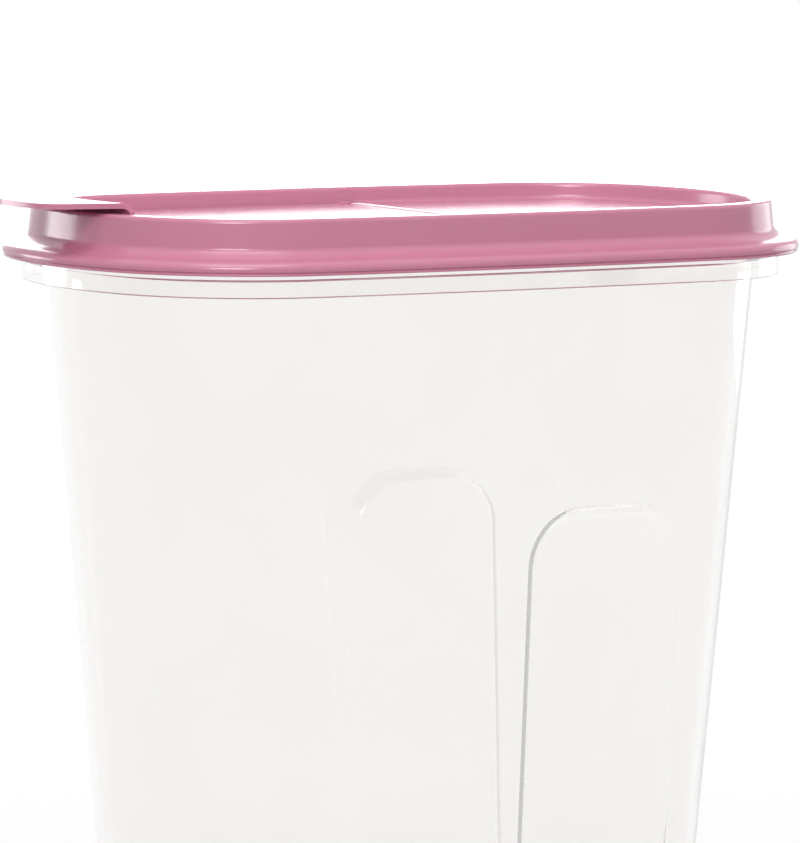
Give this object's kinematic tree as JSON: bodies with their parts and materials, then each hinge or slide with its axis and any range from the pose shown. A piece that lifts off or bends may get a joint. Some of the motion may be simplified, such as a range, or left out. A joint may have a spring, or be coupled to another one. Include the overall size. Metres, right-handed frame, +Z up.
{
  "type": "cereal container",
  "caption": "Tapered clear dry-food container with side grips, a press-on lid with a raised rim, and a hinged flip spout with a thumb tab over a pouring hole.",
  "frame": {"origin": "centre of the container's flat base, on the surface it stands on; the thumb tab overhangs the -X end, so the box's middle lies a little to -X", "axes": "+Z up, +X along the long side away from the spout, so the spout is at -X; the part is symmetric about Y = 0"},
  "size_m": [0.2064, 0.116, 0.2395],
  "materials": {
    "clear_plastic": "clear, smooth, high gloss, lightly frosted on the grips",
    "lid_plastic": "opaque old-rose polypropylene, satin gloss",
    "flap_plastic": "opaque old-rose polypropylene, satin gloss"
  },
  "bodies": {
    "container": {"container_body": "clear_plastic"},
    "lid": {"lid": "lid_plastic"},
    "flap": {"spout_flap": "flap_plastic"}
  },
  "joints": [
    {"name": "lid_lift", "type": "slide", "parent": "container", "child": "lid", "axis": [0, 0, 1], "range_m": [0, 0.06]},
    {"name": "flap_hinge", "type": "hinge", "parent": "lid", "child": "flap", "pos_m": [0.01, 0, 0.2315], "axis": [0, 1, 0], "range_deg": [0, 110]}
  ]
}
